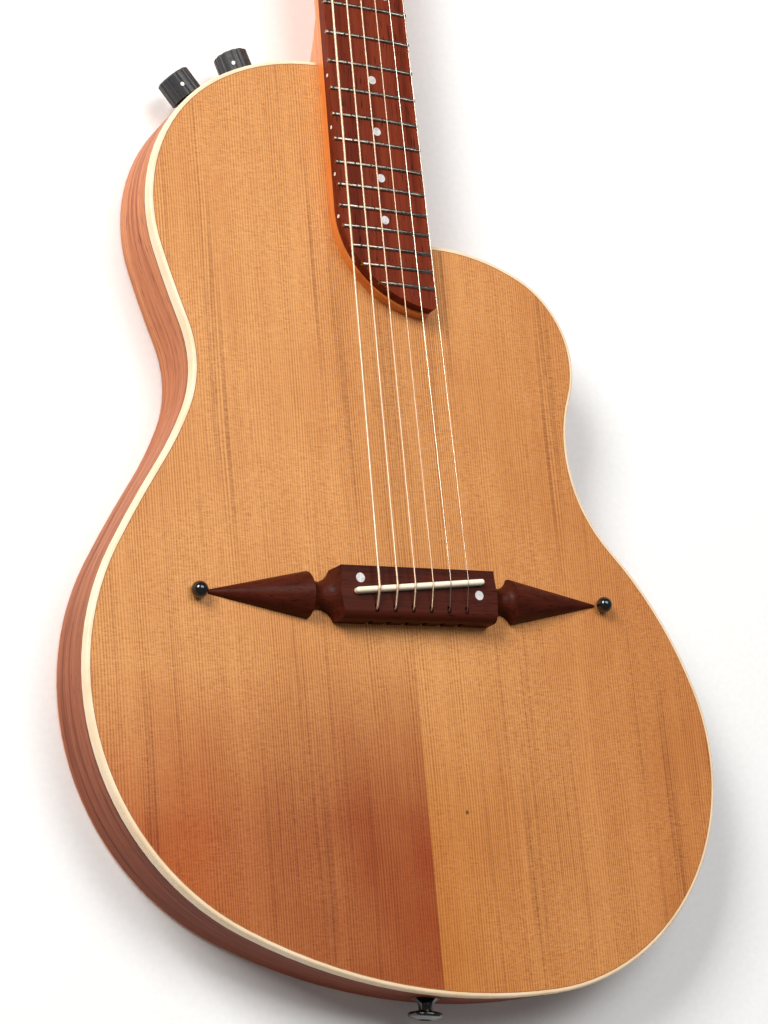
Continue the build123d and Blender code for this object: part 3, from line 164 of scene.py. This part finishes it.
# ---- woods --------------------------------------------------------------------------------
def cedar_grain(s, x, y, out, side):
    """Ring lines, soft streaks and cross silk. Returns the lines, the silk and their colour."""
    wander = s.noise(s.join(s.math("MULTIPLY", out, 9.0), s.math("MULTIPLY", y, 4.0), side), 2.0)
    across = s.math("ADD", out, s.math("MULTIPLY", s.math("SUBTRACT", wander, 0.5), 0.006))

    def along_y(per_metre, length, seed, detail=2.0, rough=0.5):
        place = s.join(s.math("MULTIPLY", across, per_metre), s.math("MULTIPLY", y, length), seed)
        return s.noise(place, detail, rough)

    phase = s.math("ADD", s.math("MULTIPLY", across, 2 * math.pi / RING_SPACING),
                   s.math("MULTIPLY", along_y(60.0, 2.0, 5.0), 26.0))
    rings = s.math("MULTIPLY", s.math("ADD", s.math("SINE", phase), 1.0), 0.5)
    strength = s.range(along_y(110.0, 4.0, 9.0, 3.0), 0.30, 0.66, 0.45, 1.0)
    lines = s.math("MULTIPLY", s.math("POWER", rings, 1.7), strength)
    hair = along_y(2300.0, 45.0, 3.0, 1.0)
    streaks = along_y(52.0, 1.2, 7.0, 2.0)
    dark_streaks = along_y(330.0, 3.6, 11.0, 1.0)
    silk_place = s.join(s.math("MULTIPLY", x, 300.0), s.math("MULTIPLY", y, 1000.0), 0.0)
    silk = s.noise(silk_place, 3.0, 0.65, 0.9)
    silk_patch = s.noise(s.stretch((20.0, 14.0, 1.0)), 2.0)
    weave = s.math("MULTIPLY", s.range(silk, 0.36, 0.66), s.range(silk_patch, 0.30, 0.60, 0.35, 1.0))
    broad = s.noise(s.stretch((7.0, 3.0, 1.0)), 2.0)

    base = s.mix(s.range(broad, 0.3, 0.7), srgb(210, 143, 80), srgb(220, 154, 90))
    base = s.mix(lines, base, srgb(160, 88, 38))
    for share, tone in ((s.math("MULTIPLY", s.range(hair, 0.48, 0.76), 0.45), srgb(156, 84, 38)),
                        (s.math("MULTIPLY", s.range(streaks, 0.48, 0.72), 0.38), srgb(178, 102, 48)),
                        (s.math("MULTIPLY", s.range(dark_streaks, 0.61, 0.75), 0.65), srgb(128, 62, 26)),
                        (s.math("MULTIPLY", weave, 0.50), srgb(232, 174, 110)),
                        (s.math("MULTIPLY", s.range(silk, 0.44, 0.30), 0.14), srgb(160, 92, 44))):
        base = s.mix(share, base, tone)
    return lines, weave, broad, base


def cedar_painted_shade(s, base, x, y, side):
    """Painted shade: below the bridge the bass half turns darker and redder up to the glue line, and darker
    tints are multiplied over parts of the treble half.
    """
    fade = s.noise(s.stretch((16.0, 12.0, 1.0)), 2.0)
    bass = s.math("SUBTRACT", 1.0, side)
    # painted shade, darkest on the bass half below the bridge
    bass_shade = s.math("MULTIPLY", s.range(y, -0.030, -0.120), s.range(x, -0.135, -0.035))
    bass_shade = s.math("MULTIPLY", bass_shade, s.range(fade, 0.15, 0.70, 0.6, 1.0))
    bass_shade = s.math("MULTIPLY", bass_shade, bass)
    outer_shade = s.math("MULTIPLY", s.range(y, -0.045, -0.125), s.range(x, -0.055, -0.125))
    outer_shade = s.math("MULTIPLY", outer_shade, s.range(fade, 0.25, 0.7, 0.6, 1.0))
    treble_glue = s.math("MULTIPLY", side, s.range(x, 0.09, 0.0))
    treble_glue = s.math("MULTIPLY", s.range(y, -0.05, -0.13), treble_glue)
    treble = s.math("MULTIPLY", s.range(x, 0.03, 0.16), s.range(y, 0.22, 0.0, 0.8, 1.0))
    # each share darkens the top with a multiplied tint: painted shade
    for share, tint in ((bass_shade, srgb(170, 86, 48)), (outer_shade, srgb(206, 138, 96)),
                        (treble_glue, srgb(228, 204, 172)),
                        (s.math("MULTIPLY", treble, 0.70), srgb(226, 200, 184))):
        base = s.mix(share, base, tint, "MULTIPLY")
    return base


def cedar_top():
    """Bookmatched reddish softwood: fine straight lines, soft streaks and cross silk, with painted shade
    tinted in by place, darkest over the lower bass half.
    """
    s = Surface("cedar_top")
    x, y = s.split()[:2]
    out = s.math("ABSOLUTE", x)
    side = s.range(x, -0.05 * MM, 0.05 * MM)
    lines, weave, broad, base = cedar_grain(s, x, y, out, side)
    # painted shade laid over the grain
    base = cedar_painted_shade(s, base, x, y, side)

    glue_line = s.range(out, 0.12 * MM, 0.3 * MM, 0.35, 0.0)
    base = s.mix(glue_line, base, srgb(120, 62, 30))
    squashed = s.join(x, s.math("MULTIPLY", y, KNOT_SQUASH), 0.0)
    from_knot = s.node("VectorMath", {0: squashed, 1: KNOT_AT}, operation="DISTANCE").outputs["Value"]
    base = s.mix(s.range(from_knot, 0.4 * MM, 1.3 * MM, 0.85, 0.0), base, srgb(70, 30, 12))

    height = s.math("ADD", s.math("MULTIPLY", lines, -0.7), s.math("MULTIPLY", weave, 0.5))
    rough = s.math("ADD", s.range(lines, 0.3, 0.7, 0.38, 0.48), s.math("MULTIPLY", broad, 0.06))
    return s.finish(base, rough, height, 0.05, Specular_IOR_Level=0.15, Coat_Weight=0.03,
                    Coat_Roughness=0.25)


def plank(name, along, tones, line, streak, pores, rough, depth=0.04, figure=0.3, coat=0.1, shine=0.30,
          tail_shade=None):
    """A hardwood with its grain along one direction.

    along: 1 for an axis that the grain follows, 0 for one across it. tones: pale, middle, dark
    and pore colours. line and streak: lines and streaks per metre across the grain.
    Last argument: painted shade, a darker tint multiplied in towards the tail end, where the light leaves the
    rim dim.
    """
    s = Surface(name)
    wander = s.noise(s.stretch(tuple(3.0 + 5.0 * (1 - a) for a in along)), 2.0)
    shift = s.math("MULTIPLY", s.math("SUBTRACT", wander, 0.5), 0.012)
    moved = s.node("VectorMath", {0: s.position, 1: s.join(shift, shift, shift)}, operation="ADD").outputs[0]

    def grain(per_metre, length, detail=3.0, roughness=0.55):
        scale = tuple(per_metre * (1 - a) + length * a for a in along)
        return s.noise(s.stretch(scale, moved), detail, roughness)

    lines = grain(line, 6.0)
    streaks = grain(streak, 1.8, 4.0, 0.6)
    fine = grain(line * 2.7, 60.0, 1.0)
    pore = grain(line * 2.2, 95.0, 1.0)
    clouds = s.noise(s.stretch((9.0, 9.0, 9.0)), 3.0)

    pale, middle, dark, pore_colour = tones
    colour = s.mix(s.range(streaks, 0.36, 0.64), pale, middle)
    colour = s.mix(s.math("MULTIPLY", s.range(streaks, 0.56, 0.74), 0.8), colour, dark)
    colour = s.mix(s.math("MULTIPLY", s.range(lines, 0.50, 0.74), 0.55), colour, dark)
    colour = s.mix(s.math("MULTIPLY", s.range(fine, 0.48, 0.72), 0.25), colour, pale)
    colour = s.mix(s.math("MULTIPLY", s.range(clouds, 0.42, 0.66), figure), colour, middle)
    colour = s.mix(s.math("MULTIPLY", s.range(pore, 0.62, 0.72), pores), colour, pore_colour)
    # painted shade: the colour is multiplied darker towards the tail end, which the lighting leaves dim
    if tail_shade:
        tail_shade_share = s.range(s.split()["Y"], 0.20, -0.16)
        colour = s.mix(tail_shade_share, colour, tail_shade, "MULTIPLY")
    open_pore = s.math("MULTIPLY", s.range(pore, 0.60, 0.72), -pores)
    height = s.math("ADD", open_pore, s.math("MULTIPLY", lines, -0.3))
    haze = s.math("ADD", lines, s.math("MULTIPLY", clouds, 0.6))
    roughness = s.range(haze, 0.5, 1.1, rough - 0.06, rough + 0.09)
    return s.finish(colour, roughness, height, depth, Specular_IOR_Level=shine, Coat_Weight=coat,
                    Coat_Roughness=0.25)


RIM_WAY = (0.985, 0.985, 0.0)
DOWN_Y = (0.0, 1.0, 0.0)
DOWN_X = (1.0, 0.0, 0.0)


def make_woods():
    side_tones = (srgb(217, 144, 98), srgb(185, 108, 70), srgb(123, 57, 31), srgb(60, 24, 12))
    # painted shade for the rim's dim tail end
    rim_shade_colour = srgb(165, 124, 110)
    board_tones = (srgb(128, 52, 30), srgb(110, 42, 23), srgb(78, 24, 13), srgb(34, 9, 6))
    bridge_tones = (srgb(80, 31, 17), srgb(64, 22, 12), srgb(40, 12, 7), srgb(18, 6, 4))
    neck_tones = (srgb(240, 150, 72), srgb(226, 124, 52), srgb(188, 86, 32), srgb(140, 58, 20))
    raw_tones = (srgb(226, 194, 148), srgb(208, 170, 120), srgb(176, 134, 86), srgb(140, 100, 60))
    return {
        "top_wood": cedar_top(),
        "side_wood": plank("rim_wood", RIM_WAY, side_tones, 700.0, 170.0, 0.55, 0.50, coat=0.0,
                           shine=0.15, tail_shade=rim_shade_colour),
        "back_wood": plank("back_wood", DOWN_Y, side_tones, 520.0, 42.0, 0.55, 0.40),
        "board_wood": plank("board_wood", DOWN_Y, board_tones, 700.0, 170.0, 0.85, 0.50, 0.06, coat=0.0,
                            shine=0.06),
        "bridge_wood": plank("bridge_wood", DOWN_X, bridge_tones, 640.0, 210.0, 0.75, 0.42, 0.05, coat=0.02,
                             shine=0.08),
        "neck_wood": plank("neck_wood", DOWN_Y, neck_tones, 560.0, 95.0, 0.35, 0.36, 0.03, coat=0.3),
        "inner_wood": plank("inner_wood", DOWN_Y, raw_tones, 480.0, 120.0, 0.3, 0.68, 0.05, coat=0.0),
    }


# ---- plastics, bone and shell -------------------------------------------------------------
def plastic(name, colour, shade, rough, scale=160.0, depth=0.01, **constants):
    """A moulded or scraped surface: two close tones, fine scratches and uneven gloss."""
    s = Surface(name)
    clouds = s.noise(s.stretch((scale, scale, scale)), 4.0, 0.6)
    scratch = s.noise(s.stretch((2600.0, 240.0, 2600.0)), 2.0)
    tone = s.mix(s.range(clouds, 0.35, 0.65), colour, shade)
    worn = s.math("ADD", clouds, s.math("MULTIPLY", scratch, 0.5))
    roughness = s.range(worn, 0.5, 1.0, rough - 0.04, rough + 0.08)
    return s.finish(tone, roughness, s.math("ADD", scratch, clouds), depth, **constants)


def shell(name):
    """Mother of pearl: pale folded layers that shift from green-white to pink-white."""
    s = Surface(name)
    fold = s.noise(s.stretch((520.0, 300.0, 520.0)), 4.0, 0.6, 1.2)
    tone = s.ramp(fold, (0.30, srgb(176, 184, 186)), (0.45, srgb(222, 220, 216)), (0.58, srgb(206, 190, 194)),
                  (0.72, srgb(166, 178, 188)))
    return s.finish(tone, s.range(fold, 0.3, 0.7, 0.16, 0.30), fold, 0.02, Coat_Weight=0.5,
                    Coat_Roughness=0.08)


def bone(name):
    """Polished bone with faint long fibres."""
    s = Surface(name)
    fibre = s.noise(s.stretch((160.0, 1900.0, 1900.0)), 3.0)
    cloud = s.noise(s.stretch((60.0, 60.0, 60.0)), 2.0)
    tone = s.mix(s.range(fibre, 0.45, 0.7), srgb(255, 247, 226), srgb(240, 224, 190))
    tone = s.mix(s.math("MULTIPLY", s.range(cloud, 0.4, 0.7), 0.4), tone, srgb(246, 232, 200))
    return s.finish(tone, s.range(fibre, 0.3, 0.7, 0.24, 0.36), fibre, 0.01,
                    Subsurface_Weight=0.12, Subsurface_Scale=0.001)


def fibre_line(name):
    """Thin dyed fibre strips: brown where they edge the top, near black under the binding."""
    s = Surface(name)
    over = s.range(s.split()["Z"], *EDGE_LINE_Z)
    fleck = s.noise(s.stretch((900.0, 900.0, 900.0)), 3.0)
    brown = s.mix(s.range(fleck, 0.35, 0.65), srgb(178, 118, 66), srgb(150, 92, 48))
    dark = s.mix(s.range(fleck, 0.35, 0.65), srgb(66, 36, 22), srgb(44, 24, 16))
    return s.finish(s.mix(over, dark, brown), s.range(fleck, 0.3, 0.7, 0.5, 0.66), fleck, 0.02)


def make_plastics():
    return {
        "cream": plastic("cream_binding", srgb(245, 220, 187), srgb(235, 205, 164), 0.30, 45.0,
                         Subsurface_Weight=0.08, Subsurface_Scale=0.001),
        "black_line": fibre_line("fibre_line"),
        "bone": bone("bone"),
        "pearl": shell("pearl"),
        "white_dot": plastic("white_dot", srgb(250, 248, 240), srgb(236, 232, 222), 0.28, 900.0),
        "black_gloss": plastic("black_gloss", srgb(16, 16, 17), srgb(9, 9, 10), 0.12, 500.0, 0.004,
                               Coat_Weight=0.6, Coat_Roughness=0.05),
        "black_satin": plastic("black_satin", srgb(52, 52, 54), srgb(38, 38, 40), 0.40, 700.0, 0.012),
        "pickup_film": plastic("pickup_film", srgb(66, 66, 70), srgb(48, 48, 52), 0.5, 900.0),
        "battery_case": plastic("battery_case", srgb(70, 72, 78), srgb(52, 54, 60), 0.35, 300.0),
        "wire": plastic("wire_cover", srgb(30, 30, 31), srgb(22, 22, 23), 0.48, 1200.0, 0.02),
        "circuit": circuit("circuit_board"),
    }


def circuit(name):
    """Green lacquered board with paler tracks."""
    s = Surface(name)
    tracks = s.node("TexBrick", {"Vector": s.stretch((260.0, 260.0, 1.0)), "Scale": 1.0,
                                 "Color1": srgb(20, 84, 52), "Color2": srgb(26, 96, 60),
                                 "Mortar": srgb(70, 150, 96), "Mortar Size": 0.05}).outputs["Color"]
    fine = s.noise(s.stretch((900.0, 900.0, 900.0)), 2.0)
    return s.finish(tracks, s.range(fine, 0.3, 0.7, 0.28, 0.45), fine, 0.02)


# ---- metals -------------------------------------------------------------------------------
def metal(name, colour, shade, rough, brush=(3000.0, 160.0, 3000.0), depth=0.006, **constants):
    """Bare or plated metal: drawn lines, finger haze and slight tarnish."""
    s = Surface(name)
    drawn = s.noise(s.stretch(brush), 2.0)
    haze = s.noise(s.stretch((140.0, 140.0, 140.0)), 4.0, 0.6)
    tone = s.mix(s.range(haze, 0.4, 0.7), colour, shade)
    worn = s.math("ADD", haze, s.math("MULTIPLY", drawn, 0.6))
    roughness = s.range(worn, 0.55, 1.1, rough - 0.03, rough + 0.12)
    return s.finish(tone, roughness, drawn, depth, 1.0, **constants)


def wound_string(name):
    """Bronze wrap round a steel core, as fine ridges along the string, with painted shade in the grooves
    between turns and painted highlight on the crests.
    """
    s = Surface(name)
    ridge = s.math("SINE", s.math("MULTIPLY", s.split()["Y"], 2 * math.pi / WRAP_PITCH))
    haze = s.noise(s.stretch((300.0, 60.0, 300.0)), 3.0)
    # painted shade and highlight: darker in the grooves between turns, paler on the crests
    tone = s.mix(s.range(ridge, -1.0, 1.0), srgb(226, 180, 140), srgb(255, 236, 212))
    tone = s.mix(s.math("MULTIPLY", s.range(haze, 0.45, 0.7), 0.4), tone, srgb(236, 196, 156))
    return s.finish(tone, s.range(haze, 0.3, 0.7, 0.34, 0.46), ridge, 0.02, 1.0)


def make_metals():
    return {
        # painted reflection: the nickel tones are darker than the metal, standing in for the dark
        # surroundings that the frets reflect
        "nickel": metal("nickel_silver_painted_dark", srgb(160, 149, 136), srgb(112, 103, 94), 0.16,
                        (160.0, 3000.0, 3000.0)),
        "chrome": metal("chrome", srgb(226, 227, 229), srgb(206, 207, 210), 0.09),
        "steel": metal("steel", srgb(184, 184, 186), srgb(150, 150, 153), 0.32),
        "brass": metal("brass", srgb(214, 170, 96), srgb(178, 130, 66), 0.28),
        "plain_steel": metal("plain_steel", srgb(222, 211, 192), srgb(196, 184, 164), 0.18),
        "bronze_wound": wound_string("bronze_wound"),
        "black_metal": plastic("black_plating", srgb(22, 22, 24), srgb(13, 13, 14), 0.16, 400.0, 0.006,
                               Coat_Weight=0.5, Coat_Roughness=0.08),
    }


def dress(materials):
    """Gives each CAD node the material of its slot."""
    for entry in frame["record"]["subparts"]:
        piece = nodes[entry["node"]]
        piece.data.materials.clear()
        piece.data.materials.append(materials[entry["material_slot"]])


# ---- pieces made here ---------------------------------------------------------------------
def tube(name, points, radius, sides=10):
    """A closed round tube along a list of points."""
    rings = []
    heading = (points[1] - points[0]).normalized()
    across = heading.orthogonal().normalized()
    for index, point in enumerate(points):
        ahead = points[min(index + 1, len(points) - 1)] - points[max(index - 1, 0)]
        ahead.normalize()
        across = (across - ahead * across.dot(ahead)).normalized()
        up = ahead.cross(across)
        turns = [2 * math.pi * step / sides for step in range(sides)]
        rings.append([point + radius * (math.cos(t) * across + math.sin(t) * up) for t in turns])
    vertices = [corner for ring in rings for corner in ring]
    faces = [tuple(reversed(range(sides)))]
    for ring in range(len(rings) - 1):
        for step in range(sides):
            low, high = ring * sides, (ring + 1) * sides
            beside = (step + 1) % sides
            faces.append((low + step, low + beside, high + beside, high + step))
    faces.append(tuple((len(rings) - 1) * sides + step for step in range(sides)))
    mesh = bpy.data.meshes.new(name)
    mesh.from_pydata(vertices, [], faces)
    mesh.update()
    for face in mesh.polygons:
        face.use_smooth = len(face.vertices) == 4
    piece = bpy.data.objects.new(name, mesh)
    bpy.context.scene.collection.objects.link(piece)
    return piece


def winding_path(joint, string, turns):
    """A helix round the post that drops and tightens as it goes."""
    centre = Vector(joint["pos_m"])
    axis = Vector(joint["axis"]).normalized()
    bass = centre.x < 0
    inward = Vector((1, 0, 0)) if bass else Vector((-1, 0, 0))
    beside = axis.cross(inward) * (1 if bass else -1)
    radius = STRING_R[string]
    steps = int(STEPS_PER_TURN * turns)
    points = []
    for step in range(steps + 1):
        share = step / steps
        angle = 2 * math.pi * turns * share
        reach = POST_R + FIRST_GAP + radius - share * TURN_IN
        rise = STRING_ON_POST - share * turns * TURN_DROP * radius
        spoke = inward * math.cos(angle) + beside * math.sin(angle)
        points.append(centre + spoke * reach + axis * rise)
    return points


def wind_strings(materials):
    """The turns of each string round its tuner's post."""
    joints = {joint["name"]: joint for joint in frame["joints"]}
    for post, string in STRING_OF_POST.items():
        turns = THIN_TURNS if STRING_R[string] < THIN_R else THICK_TURNS
        points = winding_path(joints[f"post_{post}_turn"], string, turns)
        piece = tube(f"winding_{post}", points, STRING_R[string])
        slot = "bronze_wound" if string < WOUND_COUNT else "plain_steel"
        piece.data.materials.append(materials[slot])
        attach(piece, f"post_{post}")


# ---- floor, light and camera --------------------------------------------------------------
def make_floor():
    """A pale sheet just under the guitar."""
    mesh = bpy.data.meshes.new("floor")
    around = ((-1, -1), (1, -1), (1, 1), (-1, 1))
    corners = [(x * FLOOR_REACH, y * FLOOR_REACH, -FLOOR_DROP) for x, y in around]
    mesh.from_pydata(corners, [], [(0, 1, 2, 3)])
    floor = bpy.data.objects.new("floor", mesh)
    bpy.context.scene.collection.objects.link(floor)
    s = Surface("floor_paper")
    grain = s.noise(s.stretch((300.0, 300.0, 300.0)), 3.0)
    tone = s.mix(s.range(grain, 0.3, 0.7), srgb(250, 250, 249), srgb(246, 246, 245))
    mesh.materials.append(s.finish(tone, 0.9, grain, 0.02))


def area_light(name, place, size, power, colour):
    """A softbox turned to AIM."""
    light = bpy.data.lights.new(name, "AREA")
    light.shape = "RECTANGLE"
    light.size, light.size_y = size
    light.energy = power
    light.color = colour
    lamp = bpy.data.objects.new(name, light)
    lamp.location = place
    lamp.rotation_euler = (Vector(AIM) - Vector(place)).to_track_quat("-Z", "Y").to_euler()
    bpy.context.scene.collection.objects.link(lamp)


def make_lights():
    """A key softbox from the bass side of the neck and a weaker one overhead."""
    world = bpy.data.worlds.new("studio")
    world.use_nodes = True
    background = world.node_tree.nodes["Background"]
    background.inputs["Color"].default_value = (1.0, 0.99, 0.98, 1.0)
    background.inputs["Strength"].default_value = WORLD_STRENGTH
    bpy.context.scene.world = world
    area_light("key", (-1.7, 1.3, 1.6), (1.3, 0.9), 66.0, (1.0, 0.985, 0.96))
    area_light("overhead", (0.3, 0.9, 2.3), (1.6, 1.2), 34.0, (1.0, 1.0, 1.0))


def make_camera():
    """Above the bass side, looking down across the body."""
    data = bpy.data.cameras.new("camera")
    data.sensor_width = CAMERA_SENSOR
    data.lens = CAMERA_LENS
    data.clip_start = 0.01
    camera = bpy.data.objects.new("camera", data)
    camera.location = CAMERA_AT
    camera.rotation_euler = tuple(math.radians(turn) for turn in CAMERA_TURN)
    bpy.context.scene.collection.objects.link(camera)
    bpy.context.scene.camera = camera


make_camera()
make_floor()
make_lights()
materials = {**make_woods(), **make_plastics(), **make_metals()}
dress(materials)
wind_strings(materials)

bpy.context.scene.view_settings.view_transform = "Standard"
